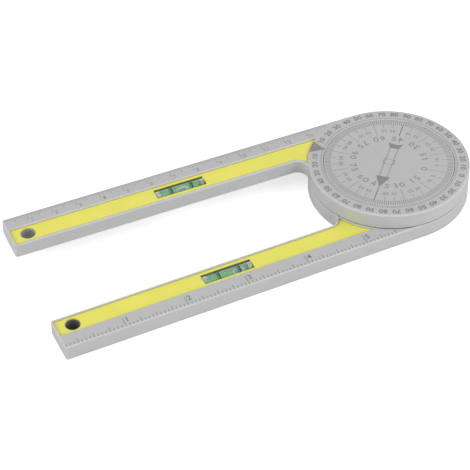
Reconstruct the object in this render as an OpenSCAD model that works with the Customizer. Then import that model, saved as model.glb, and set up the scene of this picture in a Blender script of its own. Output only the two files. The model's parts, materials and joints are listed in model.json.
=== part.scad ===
// Angle finder with arms: two flat moulded arms that turn on one dial.
// Each arm carries a ruled edge, a label and a small spirit vial. The upper
// arm ends in a ring and the lower arm in a round hub. A dial disc is screwed
// to the hub through the ring and so holds the two arms together.
// Origin: on the pivot axis, in the plane that the tool rests on.
// +Z is up, and the lower arm points along -X. Millimetres.

/* [Arms] */
// Distance from the pivot axis to the tip of each arm
arm_reach = 152.6; // [130:0.1:220]
// Width of each arm
arm_w = 15.6; // [14:0.1:20]
// Thickness of each arm
arm_h = 6.6; // [6.2:0.1:9]
// Radius of the round end of each arm
round_r = 32.3; // [31:0.1:40]
// Radius of the inner corner between an arm and its round end
crotch_r = 4.5; // [2:0.5:8]
// Chamfer on the upper edges
edge_c = 0.3; // [0.2:0.1:0.8]
// Chamfer on the upright corners of the tips
tip_c = 0.6; // [0.3:0.1:1.5]
// Angle between the arms as drawn
open_deg = 1.5; // [0:0.5:180]
// Gap between the two layers
seam = 0.3; // [0.2:0.05:0.4]

/* [Underside] */
// Thickness of the outer walls
wall = 1.8; // [1.2:0.1:2.5]
// Thickness of the top skin over the hollows
deck = 2; // [1.6:0.1:2.6]
// Thickness of the ribs
rib_w = 1.2; // [0.8:0.1:1.8]
// Length of one hollow along an arm, about
bay_pitch = 12.5; // [9:0.5:18]
// Corner radius of the hollows
bay_r = 1; // [0.4:0.1:2]
// Number of radial ribs under the hub
hub_ribs = 16; // [8:1:24]

/* [Hang holes] */
// Radius of the hole in each tip
hole_r = 2.8; // [2:0.1:3.5]
// Distance from the tip to the centre of the hole
hole_inset = 7.1; // [5:0.1:12]
// Wall round the hole on the underside
hole_wall = 1.6; // [1.2:0.1:2]

/* [Labels] */
// Width of each label
label_w = 8.1; // [6:0.1:9]
// Thickness of each label
label_t = 0.25; // [0.1:0.05:0.3]
// Depth of the seat that a label lies in
label_seat = 0.9; // [0.3:0.05:1.2]
// Strip of bare arm between a label and the arm's inner edge
label_margin = 0.8; // [0.6:0.1:2]
// Depth of the upper arm's strip beside the label below its face
strip_drop = 0.5; // [0.4:0.05:0.8]
// Gap between the round end and the end of a label
label_stop = 0.4; // [0.3:0.1:2]
// Clearance round a label in its seat
label_gap = 0.1; // [0.05:0.05:0.2]
// Depth of the tracks that keep the printed scales off the faces
track_d = 0.06; // [0.05:0.01:0.1]

/* [Vials] */
// Distance from the pivot axis to the middle of each vial
vial_x = 81.8; // [70:0.1:100]
// Length of the window that shows the vial
window_l = 20.7; // [16:0.1:30]
// Width of the window
window_w = 4.9; // [4.6:0.1:6]
// Outer radius of the tube
tube_r = 2.2; // [1.8:0.1:2.25]
// Wall of the tube
tube_wall = 0.5; // [0.4:0.05:0.7]
// Depth of the top of the tube below the arm's face
tube_drop = 0.2; // [0.1:0.1:0.6]
// Clearance between a tube and its trough
tube_gap = 0.05; // [0.03:0.01:0.1]
// Length of the plug in each end of a tube
plug_l = 1.7; // [1:0.1:3]
// Radius of the bubble
bubble_r = 1; // [0.7:0.05:1.1]
// Length of the bubble
bubble_l = 4.4; // [3:0.1:6]
// Bubble of the lower vial as drawn, towards the pivot from the middle
lower_bubble_at = 4.7; // [-4:0.1:5]
// Bubble of the upper vial as drawn, towards the pivot from the middle
upper_bubble_at = 0.8; // [-4:0.1:5]

/* [Dial and pivot] */
// Radius of the dial disc
dial_r = 26.2; // [25:0.1:28]
// Thickness of the dial disc
dial_h = 2; // [1.8:0.1:2.4]
// Depth of the dial below the ring's face
dial_drop = 0.1; // [0.1:0.05:0.4]
// Gap between the dial and the ring round it
dial_gap = 0.25; // [0.15:0.05:0.5]
// Chamfer on the rim of the dial and of the ring's opening
dial_c = 0.1; // [0.05:0.05:0.3]
// Direction of the ring's index mark from the pivot axis, from +X
index_deg = 138.5; // [132:0.5:145]
// Width of the track that the index mark is printed in
index_w = 7.6; // [5:0.1:9]
// Radius of the boss that the ring turns on
boss_r = 20; // [19:0.1:21]
// Running clearance between the boss and the ring
boss_gap = 0.05; // [0.02:0.01:0.1]
// Wall of the hollow boss
boss_wall = 2.2; // [1.8:0.1:2.6]
// Thickness of the ring's inner flange
flange_h = 2.8; // [2.4:0.1:3]
// Thickness of the flat washers on both sides of the flange
washer_t = 0.5; // [0.45:0.05:0.6]
// Width of the flat washers
washer_w = 4.4; // [3:0.1:5]
// Least clearance between the washers and the wall of the ring's opening
washer_rim = 0.5; // [0.3:0.1:1.5]
// Clearance between the boss and the washers
washer_gap = 0.4; // [0.3:0.05:0.6]
// Thickness of the spring washer's steel
spring_t = 0.3; // [0.2:0.05:0.35]
// Number of waves in the spring washer
spring_waves = 4; // [3:1:6]

/* [Dial screws] */
// Number of screws that hold the dial to the hub
screw_n = 4; // [3:1:6]
// Radius of the circle that the screws stand on
screw_circle = 12; // [11:0.1:12.5]
// Radius of a screw's thread
screw_r = 1.5; // [1.2:0.05:1.6]
// Radius of the pilot hole that a screw cuts into
pilot_r = 1.3; // [1:0.05:1.3]
// Radius of a screw's head
head_r = 2.75; // [2.4:0.05:2.9]
// Height of a screw's head
head_h = 2.1; // [1.6:0.1:2.4]
// Depth of the head's seat in the underside
head_seat = 3.2; // [2.8:0.1:3.6]
// Radius of the dial's screw posts
post_r = 3.1; // [2.6:0.05:3.3]
// Clearance round the posts and the screws
post_gap = 0.15; // [0.1:0.05:0.3]
// Wall round a post's socket
socket_wall = 1.6; // [1.2:0.1:1.7]
// Radius of the middle pillar under the hub
middle_r = 3.2; // [2.5:0.1:4]

/* [Hidden] */
$fn = 96;

eps = 0.01;          // how far a cut runs past a face
past = 1;            // how far a cut runs past an outer face
upper_z = arm_h + seam;              // underside of the upper layer
top_z = upper_z + arm_h;             // upper face of the upper layer
inner_y = round_r - arm_w;           // inner edge of an arm
label_y = inner_y + label_margin;    // inner edge of a label
line_y = label_y + label_w / 2;      // line of the hole and the vial
label_end_r = round_r + label_stop;  // arc that ends a label

// Centre of the inner corner's circle, which touches the arm and the round end
crotch_y = inner_y - crotch_r;
crotch_x = -sqrt(pow(round_r + crotch_r, 2) - pow(crotch_y, 2));

tube_l = window_l - 4 * tube_gap;
tube_z = arm_h - tube_drop - tube_r;      // axis of the tube over the underside
bore_r = tube_r - tube_wall;
fluid_l = tube_l - 2 * plug_l;
fluid_gap = 0.03;                         // film between the fluid and the glass
bubble_gap = 0.12;                        // room round the bubble in its channel
bubble_z = tube_z + bore_r - bubble_r - 2 * bubble_gap - fluid_gap;

dial_z = top_z - dial_drop - dial_h;      // underside of the dial, top of the boss
flange_z = upper_z + flange_h;            // upper face of the flange
washer_r = boss_r + boss_gap + washer_gap;
washer_out = washer_r + washer_w;         // outer radius of the washers
opening_r = max(dial_r + dial_gap, washer_out + washer_rim);
washer_seat = washer_t - seam;            // depth of the lower washer's seat
spring_z = flange_z + washer_t;           // the spring washer lies from here to the dial
hollow_z = arm_h - deck;                  // top of the hollows in an arm
boss_hollow_z = dial_z - deck;            // top of the hollow in the boss
cavity_r = boss_r - boss_wall;
post_z = head_seat + deck + 1.4;          // lower end of the dial's posts
pillar_r = post_r + post_gap + socket_wall;
screw_tip = dial_z + dial_h / 3;          // how far up a screw reaches

// Shared shapes. Every arm shape is drawn for the upper arm, whose ruled edge
// is at +Y, and the lower arm mirrors it.

// Rectangle a by b with rounded corners, from the origin
module round_rect(a, b, r) {
    translate([r, 0]) square([a - 2 * r, b]);
    translate([0, r]) square([a, b - 2 * r]);
    for (x = [r, a - r], y = [r, b - r]) translate([x, y]) circle(r);
}

// Straight part of an arm, with chamfered upper edges and tip corners
module arm_bar() {
    intersection() {
        linear_extrude(arm_h) polygon([
            [0, inner_y], [0, round_r], [-arm_reach + tip_c, round_r],
            [-arm_reach, round_r - tip_c], [-arm_reach, inner_y + tip_c],
            [-arm_reach + tip_c, inner_y]
        ]);
        rotate([90, 0, -90]) linear_extrude(arm_reach) polygon([
            [-round_r, 0], [-inner_y, 0], [-inner_y, arm_h - edge_c],
            [-inner_y - edge_c, arm_h], [-round_r + edge_c, arm_h],
            [-round_r, arm_h - edge_c]
        ]);
        translate([0, round_r, 0]) rotate([90, 0, 0]) linear_extrude(arm_w) polygon([
            [0, 0], [0, arm_h], [-arm_reach + edge_c, arm_h],
            [-arm_reach, arm_h - edge_c], [-arm_reach, 0]
        ]);
    }
}

// Whole outline of an arm as a solid block: bar, round end and inner corner
module arm_block() {
    difference() {
        union() {
            arm_bar();
            cylinder(r = round_r, h = arm_h - edge_c);
            translate([0, 0, arm_h - edge_c])
                cylinder(r1 = round_r, r2 = round_r - edge_c, h = edge_c);
            linear_extrude(arm_h) polygon([
                [crotch_x, inner_y + edge_c + eps], [crotch_x, crotch_y],
                round_r / (round_r + crotch_r) * [crotch_x, crotch_y],
                0.9 * round_r / (round_r + crotch_r) * [crotch_x, crotch_y],
                [0.6 * crotch_x, inner_y + edge_c + eps]
            ]);
        }
        translate([crotch_x, crotch_y, -past]) cylinder(r = crotch_r, h = arm_h + 2 * past);
        crotch_chamfer(arm_h);
    }
}

// Chamfer of the inner corner, under a face at height z
module crotch_chamfer(z) {
    translate([crotch_x, crotch_y, z - edge_c])
        cylinder(r1 = crotch_r, r2 = crotch_r + edge_c + eps, h = edge_c + eps);
}

// Outline of a label's place, grown all round by g
module label_outline(g) {
    difference() {
        union() {
            translate([-arm_reach + label_margin - g, label_y - g])
                square([arm_reach - label_margin + g, label_w + 2 * g]);
            polygon([
                [crotch_x, label_y], [crotch_x, crotch_y],
                [0, 0], [0, label_y]
            ]);
        }
        circle(label_end_r - g);
        translate([crotch_x, crotch_y]) circle(crotch_r + label_margin - g);
    }
}

// Row of hollows between two places along the arm, open at the underside
module bays(from_x, to_x) {
    run = to_x - from_x;
    count = max(1, round(run / bay_pitch));
    step = (run + rib_w) / count;
    translate([0, 0, -past]) linear_extrude(hollow_z + past) for (i = [0 : count - 1])
        translate([from_x + i * step, inner_y + wall])
            round_rect(step - rib_w, arm_w - 2 * wall, bay_r);
}

// All hollows of an arm, with the wall of the hang hole left standing
module arm_hollows() {
    difference() {
        union() {
            bays(-arm_reach + wall, -vial_x - window_l / 2 - wall);
            bays(-vial_x + window_l / 2 + wall, crotch_x);
        }
        translate([-arm_reach + hole_inset, line_y, -2 * past])
            cylinder(r = hole_r + hole_wall, h = arm_h + 2 * past);
    }
}

// Window with a half-round trough for the tube
module vial_pocket() {
    trough_r = tube_r + tube_gap;
    translate([-vial_x, line_y, tube_z]) {
        rotate([0, 90, 0]) cylinder(r = trough_r, h = window_l, center = true);
        translate([-window_l / 2, -window_w / 2, 0])
            cube([window_l, window_w, arm_h - tube_z + past]);
    }
}

// Arm with its label seat, ruled track, hang hole, vial pocket and hollows
module arm_blank() {
    difference() {
        arm_block();
        translate([0, 0, arm_h - label_seat]) linear_extrude(label_seat + past)
            label_outline(label_gap);
        translate([-arm_reach - past, label_y + label_w + 2 * edge_c, arm_h - track_d])
            cube([arm_reach + past, arm_w, past]);
        translate([-arm_reach + hole_inset, line_y, -past]) cylinder(r = hole_r, h = arm_h + 2 * past);
        vial_pocket();
        arm_hollows();
    }
}

// Ring of rectangular section
module washer(inner, outer, z, h) {
    translate([0, 0, z]) difference() {
        cylinder(r = outer, h = h);
        translate([0, 0, -past]) cylinder(r = inner, h = h + 2 * past);
    }
}

// Puts its children at each screw
module at_screws() {
    for (i = [0 : screw_n - 1]) rotate(45 + i * 360 / screw_n) translate([screw_circle, 0, 0]) children();
}

// Puts a shape that is drawn on an arm's own lines where the lower arm is
module place_lower() {
    mirror([0, 1, 0]) children();
}

// The same for the upper arm, in the upper layer
module place_upper() {
    rotate(-open_deg) translate([0, 0, upper_z]) children();
}

// Lower arm

// Hollow under the hub's deck, crossed by radial ribs
module hub_hollow() {
    difference() {
        washer(boss_r, round_r - wall, -past, hollow_z + past);
        for (i = [0 : hub_ribs - 1]) rotate((i + 0.5) * 360 / hub_ribs)
            translate([boss_r - past, -rib_w / 2, -2 * past])
                cube([round_r - boss_r, rib_w, arm_h + 2 * past]);
    }
}

// Hollow of the boss, with the screw pillars, the middle pillar and their ribs
module boss_hollow() {
    difference() {
        translate([0, 0, -past]) cylinder(r = cavity_r, h = boss_hollow_z + past);
        translate([0, 0, -2 * past]) {
            cylinder(r = middle_r, h = dial_z + 2 * past);
            at_screws() cylinder(r = pillar_r, h = dial_z + 2 * past);
            for (i = [0 : screw_n - 1]) rotate(45 + (i + 0.5) * 360 / screw_n)
                translate([0, -rib_w / 2, 0]) cube([boss_r, rib_w, dial_z + 2 * past]);
        }
    }
}

// Holes for one dial screw: head seat, clearance hole and socket of the post
module screw_hole() {
    translate([0, 0, -past]) cylinder(r = head_r + post_gap, h = head_seat + past);
    cylinder(r = screw_r + post_gap, h = dial_z);
    translate([0, 0, post_z - post_gap])
        cylinder(r = post_r + post_gap, h = dial_z - post_z + post_gap + past);
}

module lower_arm() {
    color("silver") difference() {
        union() {
            place_lower() arm_blank();
            translate([0, 0, arm_h - deck / 2]) cylinder(r = boss_r, h = dial_z - arm_h + deck / 2);
        }
        washer(washer_r - washer_gap / 2, washer_out + washer_gap / 2,
            arm_h - washer_seat, washer_seat + past);
        hub_hollow();
        boss_hollow();
        at_screws() screw_hole();
    }
}

// Upper arm

// Opening of the ring, over the flange, with its chamfered mouth
module ring_opening() {
    translate([0, 0, flange_h]) cylinder(r = opening_r, h = arm_h);
    translate([0, 0, arm_h - dial_c])
        cylinder(r1 = opening_r, r2 = opening_r + dial_c + eps, h = dial_c + eps);
    translate([0, 0, -past]) cylinder(r = boss_r + boss_gap, h = arm_h);
}

// Cut that lowers the strip between the label and the inner edge, from the
// tip's own strip to the ring, with a chamfer along the new edge
module strip_cut() {
    strip_z = arm_h - strip_drop;
    start_x = -arm_reach + label_margin - label_gap;
    difference() {
        union() {
            translate([start_x, 0, strip_z]) cube([-start_x, label_y, strip_drop + past]);
            translate([start_x, 0, 0]) rotate([90, 0, 90]) linear_extrude(crotch_x - start_x)
                polygon([
                    [inner_y - eps, strip_z - edge_c - eps], [inner_y + edge_c, strip_z],
                    [inner_y + edge_c, strip_z + eps], [inner_y - eps, strip_z + eps]
                ]);
            crotch_chamfer(strip_z);
        }
        cylinder(r = label_end_r - label_gap, h = arm_h + 2 * past);
    }
}

module upper_arm() {
    color("silver") place_upper() difference() {
        arm_blank();
        strip_cut();
        ring_opening();
        washer(opening_r, round_r - 2 * edge_c, arm_h - track_d, past);
        rotate(index_deg) translate([opening_r, -index_w / 2, arm_h - track_d])
            cube([label_end_r - opening_r, index_w, past]);
    }
}

// Dial, its screws and washers

module dial_disc() {
    color("silver") difference() {
        union() {
            translate([0, 0, dial_z]) cylinder(r = dial_r, h = dial_h - dial_c);
            translate([0, 0, dial_z + dial_h - dial_c])
                cylinder(r1 = dial_r, r2 = dial_r - dial_c, h = dial_c);
            at_screws() translate([0, 0, post_z]) cylinder(r = post_r, h = dial_z - post_z + eps);
        }
        at_screws() translate([0, 0, post_z - past]) cylinder(r = pilot_r, h = screw_tip - post_z + past);
    }
}

// One pan head screw with a cross recess, seated in the hub
module dial_screw() {
    recess_w = screw_r / 2;
    difference() {
        union() {
            translate([0, 0, head_seat - head_h]) cylinder(r = head_r, h = head_h);
            translate([0, 0, head_seat - eps]) cylinder(r = screw_r, h = screw_tip - head_seat);
        }
        for (a = [0, 90]) rotate(a) translate([-screw_r, -recess_w / 2, head_seat - head_h - past])
            cube([2 * screw_r, recess_w, head_h / 2 + past]);
    }
}

module dial_screws() {
    color("dimgray") at_screws() dial_screw();
}

module thrust_washer() {
    color("ivory") washer(washer_r, washer_out, arm_h - washer_seat, washer_t);
}

module glide_washer() {
    color("ivory") washer(washer_r, washer_out, flange_z, washer_t);
}

// Spring washer: a flat ring bent into waves between the glide washer and the dial
module spring_washer() {
    steps = 24 * spring_waves;
    radii = [washer_r + washer_gap, washer_out - washer_gap];
    lift = dial_z - spring_z - spring_t;
    function wave(a) = spring_z + lift * (1 - cos(spring_waves * a)) / 2;
    points = [for (i = [0 : steps - 1]) let (a = i * 360 / steps)
        for (r = radii, z = [0, spring_t]) [r * cos(a), r * sin(a), wave(a) + z]];
    // Corners of one cross-section, in order round it
    corners = [0, 1, 3, 2];
    faces = [for (i = [0 : steps - 1]) for (k = [0 : 3])
        let (j = (i + 1) % steps, m = (k + 1) % 4)
        for (half = [0, 1]) half == 0
            ? [4 * i + corners[k], 4 * j + corners[k], 4 * j + corners[m]]
            : [4 * i + corners[k], 4 * j + corners[m], 4 * i + corners[m]]];
    color("lightsteelblue") polyhedron(points, faces);
}

// Labels

module label() {
    translate([0, 0, arm_h - label_seat]) linear_extrude(label_t) difference() {
        label_outline(0);
        translate([-vial_x - window_l / 2, line_y - window_w / 2]) square([window_l, window_w]);
        translate([-arm_reach + hole_inset, line_y]) circle(hole_r + label_gap);
    }
}

module lower_label() {
    color("yellow") place_lower() label();
}

module upper_label() {
    color("yellow") place_upper() label();
}

// Vials. Each is drawn along its own axis, with +X towards the pivot.

module at_vial() {
    translate([-vial_x, line_y, tube_z]) rotate([0, 90, 0]) children();
}

module vial_tube() {
    at_vial() difference() {
        cylinder(r = tube_r, h = tube_l, center = true);
        cylinder(r = bore_r, h = tube_l + 2 * past, center = true);
    }
}

// Plug in the end on the given side: -1 at the tip, 1 at the dial
module vial_plug(side) {
    at_vial() translate([0, 0, side * (tube_l - plug_l) / 2]) cylinder(r = bore_r, h = plug_l, center = true);
}

// Rod with round ends, whose middle is the given distance from the vial's middle
module capsule(r, length, at) {
    translate([at - vial_x, line_y, bubble_z]) rotate([0, 90, 0]) {
        cylinder(r = r, h = length - 2 * r, center = true);
        for (side = [-1, 1]) translate([0, 0, side * (length / 2 - r)]) sphere(r = r);
    }
}

// Fluid, with the channel that the bubble runs in
module vial_fluid() {
    difference() {
        at_vial() cylinder(r = bore_r - fluid_gap, h = fluid_l, center = true);
        capsule(bubble_r + bubble_gap, fluid_l - 2 * bubble_gap, 0);
    }
}

module vial_bubble(at) {
    capsule(bubble_r, bubble_l, at);
}

module lower_vial_tube() {
    color("lightcyan", 0.4) place_lower() vial_tube();
}

module lower_vial_tip_plug() {
    color("whitesmoke", 0.7) place_lower() vial_plug(-1);
}

module lower_vial_dial_plug() {
    color("whitesmoke", 0.7) place_lower() vial_plug(1);
}

module lower_vial_fluid() {
    color("mediumseagreen", 0.7) place_lower() vial_fluid();
}

module lower_vial_bubble() {
    color("honeydew", 0.5) place_lower() vial_bubble(lower_bubble_at);
}

module upper_vial_tube() {
    color("lightcyan", 0.4) place_upper() vial_tube();
}

module upper_vial_tip_plug() {
    color("whitesmoke", 0.7) place_upper() vial_plug(-1);
}

module upper_vial_dial_plug() {
    color("whitesmoke", 0.7) place_upper() vial_plug(1);
}

module upper_vial_fluid() {
    color("mediumseagreen", 0.7) place_upper() vial_fluid();
}

module upper_vial_bubble() {
    color("honeydew", 0.5) place_upper() vial_bubble(upper_bubble_at);
}

lower_arm();
upper_arm();
dial_disc();
dial_screws();
thrust_washer();
glide_washer();
spring_washer();
lower_label();
upper_label();
lower_vial_tube();
lower_vial_tip_plug();
lower_vial_dial_plug();
lower_vial_fluid();
lower_vial_bubble();
upper_vial_tube();
upper_vial_tip_plug();
upper_vial_dial_plug();
upper_vial_fluid();
upper_vial_bubble();
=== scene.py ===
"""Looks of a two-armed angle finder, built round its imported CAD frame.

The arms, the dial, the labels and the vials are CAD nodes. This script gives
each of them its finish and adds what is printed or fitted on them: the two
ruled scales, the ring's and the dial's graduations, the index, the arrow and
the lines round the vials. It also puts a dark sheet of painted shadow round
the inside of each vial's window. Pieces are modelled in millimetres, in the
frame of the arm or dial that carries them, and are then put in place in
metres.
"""

import json
import logging
import math
from dataclasses import dataclass, field
from enum import Enum
from typing import Iterable, Sequence

import bpy
from mathutils import Matrix, Vector


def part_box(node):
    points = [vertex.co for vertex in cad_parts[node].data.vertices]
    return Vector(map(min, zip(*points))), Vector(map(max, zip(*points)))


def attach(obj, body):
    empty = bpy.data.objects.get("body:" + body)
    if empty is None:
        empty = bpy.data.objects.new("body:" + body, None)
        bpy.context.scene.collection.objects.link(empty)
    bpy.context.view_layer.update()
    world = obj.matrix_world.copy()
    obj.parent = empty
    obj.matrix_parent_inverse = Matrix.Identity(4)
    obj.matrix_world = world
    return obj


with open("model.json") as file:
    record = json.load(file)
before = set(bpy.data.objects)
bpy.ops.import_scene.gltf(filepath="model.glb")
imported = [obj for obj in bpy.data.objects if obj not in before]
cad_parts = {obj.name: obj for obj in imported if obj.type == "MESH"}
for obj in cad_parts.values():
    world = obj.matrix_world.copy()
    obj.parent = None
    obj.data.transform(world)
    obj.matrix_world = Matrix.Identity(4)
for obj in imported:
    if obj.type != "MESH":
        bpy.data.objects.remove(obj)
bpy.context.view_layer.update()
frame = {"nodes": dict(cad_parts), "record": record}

Piece = bpy.types.Object
Finish = bpy.types.Material
Socket = bpy.types.NodeSocket
Rgb = tuple[float, float, float]
Span = tuple[float, float]

LOG = logging.getLogger("angle_finder")
MM = 0.001

# Sizes that several pieces share, in millimetres. Heights on an arm are over
# its own underside.
FACE_Z = 6.6
TRACK_Z = FACE_Z - 0.06
UPPER_Z = 6.9
DIAL_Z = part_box("dial_disc")[1][2] / MM
VIAL_Y = 21.55
HUB_R = 32.15

# Angles: how far the arms are open, and where the ring's index stands from +X
OPENING = math.radians(1.5)
INDEX_AT = 138.5

# Distance under which mesh points become one, least cosine of a face that
# looks along an axis, rays of a rounded edge, and steps of a digit's curves
MERGE = 1e-4
ALONG = 0.9
BEVEL_SAMPLES = 6
CURVE_STEPS = 3


class Body(Enum):
    """The two halves that turn on each other, by the names of their bodies."""

    LOWER = "lower_half"
    UPPER = "upper_half"


class Facing(Enum):
    """Which way the tops of marks on a circle point."""

    INWARD = -1
    OUTWARD = 1


# Modelling helpers


def deselect_all() -> None:
    """Leaves object mode ready for an operator, with nothing selected."""
    if bpy.context.mode != "OBJECT":
        bpy.ops.object.mode_set(mode="OBJECT")
    bpy.ops.object.select_all(action="DESELECT")


def pick(piece: Piece) -> None:
    """Makes one object the selected and active one.

    Args:
        piece: The object that the next operator works on.
    """
    deselect_all()
    piece.select_set(True)
    bpy.context.view_layer.objects.active = piece


def apply_place(piece: Piece) -> None:
    """Moves an object's place, turn and scale into its mesh."""
    pick(piece)
    bpy.ops.object.transform_apply(location=True, rotation=True, scale=True)


def select_mesh(piece: Piece) -> None:
    """Opens edit mode with the whole mesh selected.

    Args:
        piece: The mesh object to edit.
    """
    pick(piece)
    bpy.ops.object.mode_set(mode="EDIT")
    bpy.ops.mesh.select_all(action="SELECT")


def select_faces(piece: Piece, axis: Vector) -> None:
    """Opens edit mode with the faces selected that look along an axis.

    Args:
        piece: The mesh object to edit.
        axis: The direction that the faces look in.
    """
    pick(piece)
    bpy.ops.object.mode_set(mode="EDIT")
    bpy.ops.mesh.select_mode(type="FACE")
    bpy.ops.mesh.select_all(action="DESELECT")
    bpy.ops.object.mode_set(mode="OBJECT")
    for face in piece.data.polygons:
        face.select = face.normal.dot(axis) > ALONG
    bpy.ops.object.mode_set(mode="EDIT")


def clean_mesh(piece: Piece) -> None:
    """Merges doubled points and turns all faces outwards.

    Args:
        piece: The mesh object to clean.
    """
    select_mesh(piece)
    bpy.ops.mesh.remove_doubles(threshold=MERGE)
    bpy.ops.mesh.normals_make_consistent(inside=False)
    bpy.ops.object.mode_set(mode="OBJECT")


def thicken_walls(piece: Piece, thickness: float, outward: bool) -> None:
    """Makes solid walls of a thin shell.

    Args:
        piece: The shell.
        thickness: How thick the walls become.
        outward: Whether they grow outwards, or inwards and evenly at the corners.
    """
    solid = piece.modifiers.new("thickness", "SOLIDIFY")
    solid.thickness = thickness
    solid.offset = 1 if outward else -1
    solid.use_even_offset = not outward
    pick(piece)
    bpy.ops.object.modifier_apply(modifier=solid.name)


def at(x: float, y: float, z: float = 0.0, turn: float = 0.0) -> Matrix:
    """Returns the place of a mark.

    Args:
        x: Distance along X.
        y: Distance along Y.
        z: Height.
        turn: Turn about Z in radians.

    Returns:
        The matrix that puts a mark there.
    """
    return Matrix.Translation((x, y, z)) @ Matrix.Rotation(turn, 4, "Z")


def polar(radius: float, degrees: float) -> Span:
    """Returns a point on a circle round the pivot.

    Args:
        radius: The circle's radius.
        degrees: The angle from +X.

    Returns:
        Its X and Y.
    """
    angle = math.radians(degrees)
    return radius * math.cos(angle), radius * math.sin(angle)


def stamp(pattern: Piece, places: Iterable[Matrix]) -> list[Piece]:
    """Copies a modelled mark to several places, each with its own mesh.

    Args:
        pattern: The mark, which is removed afterwards.
        places: Where each copy goes.

    Returns:
        The copies.
    """
    made = []
    for place in places:
        twin = pattern.copy()
        twin.data = pattern.data.copy()
        bpy.context.collection.objects.link(twin)
        twin.matrix_world = place @ pattern.matrix_world
        made.append(twin)
    bpy.data.objects.remove(pattern, do_unlink=True)
    return made


def stamp_circle(
    pattern: Piece, radius: float, angles: Iterable[float], height: float, facing: Facing = Facing.OUTWARD
) -> list[Piece]:
    """Copies a modelled mark to several angles of a circle round the pivot.

    Args:
        pattern: The mark, which is removed afterwards.
        radius: The circle's radius.
        angles: The angles from +X, in degrees.
        height: The height of the face it is printed on.
        facing: Which way the mark's +Y points.

    Returns:
        The copies.
    """
    return stamp(
        pattern,
        [at(*polar(radius, angle), height, math.radians(angle - 90 * facing.value)) for angle in angles],
    )


def joined(name: str, parts: Sequence[Piece]) -> Piece:
    """Joins marks into one piece, with its place in the mesh.

    Args:
        name: The name of the piece.
        parts: The marks to join.

    Returns:
        The joined piece, at the origin.
    """
    deselect_all()
    for part in parts:
        part.select_set(True)
    bpy.context.view_layer.objects.active = parts[0]
    if len(parts) > 1:
        bpy.ops.object.join()
    whole = bpy.context.view_layer.objects.active
    apply_place(whole)
    whole.name = name
    whole.data.name = name
    return whole


def settle(piece: Piece, place: Matrix, body: Body, finish: Finish) -> Piece:
    """Puts a piece that was modelled in millimetres in its place in metres.

    Args:
        piece: The finished piece.
        place: Where it goes, in millimetres.
        body: The body that it rides on.
        finish: Its material.

    Returns:
        The piece.
    """
    piece.matrix_world = Matrix.Scale(MM, 4) @ place
    apply_place(piece)
    piece.data.materials.clear()
    piece.data.materials.append(finish)
    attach(piece, body.value)
    LOG.info("%s: %d faces on %s", piece.name, len(piece.data.polygons), body.value)
    return piece


# Places of the two arms and of the dial


@dataclass(frozen=True)
class Arm:
    """One arm of the tool.

    Attributes:
        name: What the names of its nodes start with.
        body: The body that it belongs to.
        place: Where its own frame is, in millimetres.
        outward: 1 where its ruled edge is at +Y, -1 where it is at -Y.
    """

    name: str
    body: Body
    place: Matrix
    outward: int


DIAL_PLACE = Matrix.Rotation(-OPENING, 4, "Z")
LOWER = Arm("lower", Body.LOWER, Matrix.Identity(4), -1)
UPPER = Arm("upper", Body.UPPER, DIAL_PLACE @ Matrix.Translation((0, 0, UPPER_Z)), 1)


# Finishes


def feed(value: Socket | float | tuple, socket: Socket) -> None:
    """Gives an input of a node its value.

    Args:
        value: A constant, or the output of another node, which is then linked.
        socket: The input.
    """
    if isinstance(value, bpy.types.NodeSocket):
        socket.id_data.links.new(value, socket)
    else:
        socket.default_value = value


def calculate(tree: bpy.types.NodeTree, operation: str, *values: Socket | float) -> Socket:
    """Adds a math node.

    Args:
        tree: The node tree.
        operation: What the node works out.
        *values: Its inputs in order, as for feed.

    Returns:
        The result.
    """
    node = tree.nodes.new("ShaderNodeMath")
    node.operation = operation
    for value, socket in zip(values, node.inputs):
        feed(value, socket)
    return node.outputs[0]


def shade(rgb: Rgb, factor: float = 1.0) -> tuple[float, float, float, float]:
    """Makes a linear colour lighter or darker.

    Args:
        rgb: The colour.
        factor: What its parts are multiplied by.

    Returns:
        The colour with full alpha.
    """
    return (*(min(1.0, part * factor) for part in rgb), 1.0)


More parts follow.
